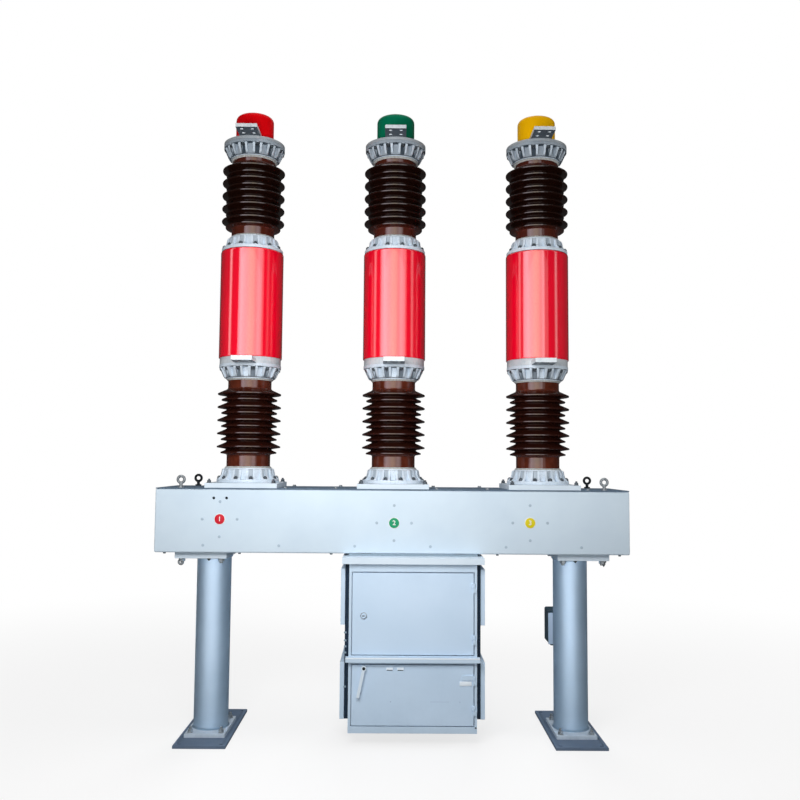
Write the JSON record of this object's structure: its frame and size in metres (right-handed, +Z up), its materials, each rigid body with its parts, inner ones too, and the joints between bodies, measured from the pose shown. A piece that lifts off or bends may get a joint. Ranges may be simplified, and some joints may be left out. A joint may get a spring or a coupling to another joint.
{
  "type": "outdoor three-pole gas insulated circuit breaker",
  "caption": "Outdoor gas insulated breaker: shedded porcelain poles on a box beam, pipe columns and a hinged-door mechanism cabinet.",
  "frame": {"origin": "on the ground, midway between the foundation plates and under the middle pole", "axes": "+X along the beam to the right pole seen from the front, -Y to the front, +Z up"},
  "size_m": [2.646, 0.682, 3.605],
  "materials": {
    "beam_paint": "satin light blue-grey enamel",
    "cabinet_paint": "satin light blue-grey enamel",
    "door_paint": "satin light blue-grey enamel",
    "column_paint": "satin blue-grey enamel",
    "pole_plate_paint": "satin light blue-grey enamel",
    "slate_plate": "matte slate paint",
    "cast_flange": "sand-cast, satin",
    "aluminium_terminal": "machined, satin",
    "brown_porcelain": "gloss glaze",
    "red_sleeve": "gloss red enamel",
    "red_cap": "gloss red enamel",
    "green_cap": "gloss green enamel",
    "yellow_cap": "gloss yellow enamel",
    "forged_steel": "galvanised",
    "handle_steel": "satin",
    "box_paint": "satin blue-grey enamel"
  },
  "bodies": {
    "frame": {"left_base_plate": "pole_plate_paint", "left_lower_flanges": "cast_flange", "left_lower_porcelain": "brown_porcelain", "left_lower_terminal": "aluminium_terminal", "left_chamber": "red_sleeve", "left_upper_flanges": "cast_flange", "left_upper_porcelain": "brown_porcelain", "left_top_terminal": "aluminium_terminal", "left_cap": "red_cap", "middle_base_plate": "pole_plate_paint", "middle_lower_flanges": "cast_flange", "middle_lower_porcelain": "brown_porcelain", "middle_lower_terminal": "aluminium_terminal", "middle_chamber": "red_sleeve", "middle_upper_flanges": "cast_flange", "middle_upper_porcelain": "brown_porcelain", "middle_top_terminal": "aluminium_terminal", "middle_cap": "green_cap", "right_base_plate": "pole_plate_paint", "right_lower_flanges": "cast_flange", "right_lower_porcelain": "brown_porcelain", "right_lower_terminal": "aluminium_terminal", "right_chamber": "red_sleeve", "right_upper_flanges": "cast_flange", "right_upper_porcelain": "brown_porcelain", "right_top_terminal": "aluminium_terminal", "right_cap": "yellow_cap", "foundation_plates": "slate_plate", "columns": "column_paint", "column_end_plates": "column_paint", "beam": "beam_paint", "beam_cover": "slate_plate", "lifting_eyes": "forged_steel", "cabinet_side_walls": "cabinet_paint", "cabinet_back_wall": "cabinet_paint", "cabinet_floor": "cabinet_paint", "front_stiles": "cabinet_paint", "front_rails": "cabinet_paint", "cabinet_roof": "cabinet_paint", "rain_ledge": "cabinet_paint", "side_covers": "cabinet_paint", "junction_box": "box_paint"},
    "upper_door": {"upper_door": "door_paint"},
    "lower_door": {"lower_door": "door_paint"},
    "door_handle": {"door_handle": "handle_steel"}
  },
  "joints": [
    {"name": "upper_door_hinge", "type": "hinge", "parent": "frame", "child": "upper_door", "pos_m": [0.4485, -0.303, 0.709], "axis": [0, 0, 1], "range_deg": [0, 110]},
    {"name": "lower_door_hinge", "type": "hinge", "parent": "frame", "child": "lower_door", "pos_m": [0.4485, -0.303, 0.274], "axis": [0, 0, 1], "range_deg": [0, 110]},
    {"name": "handle_turn", "type": "hinge", "parent": "lower_door", "child": "door_handle", "pos_m": [-0.15, -0.309, 0.42], "axis": [0, -1, 0], "range_deg": [0, 90]}
  ]
}
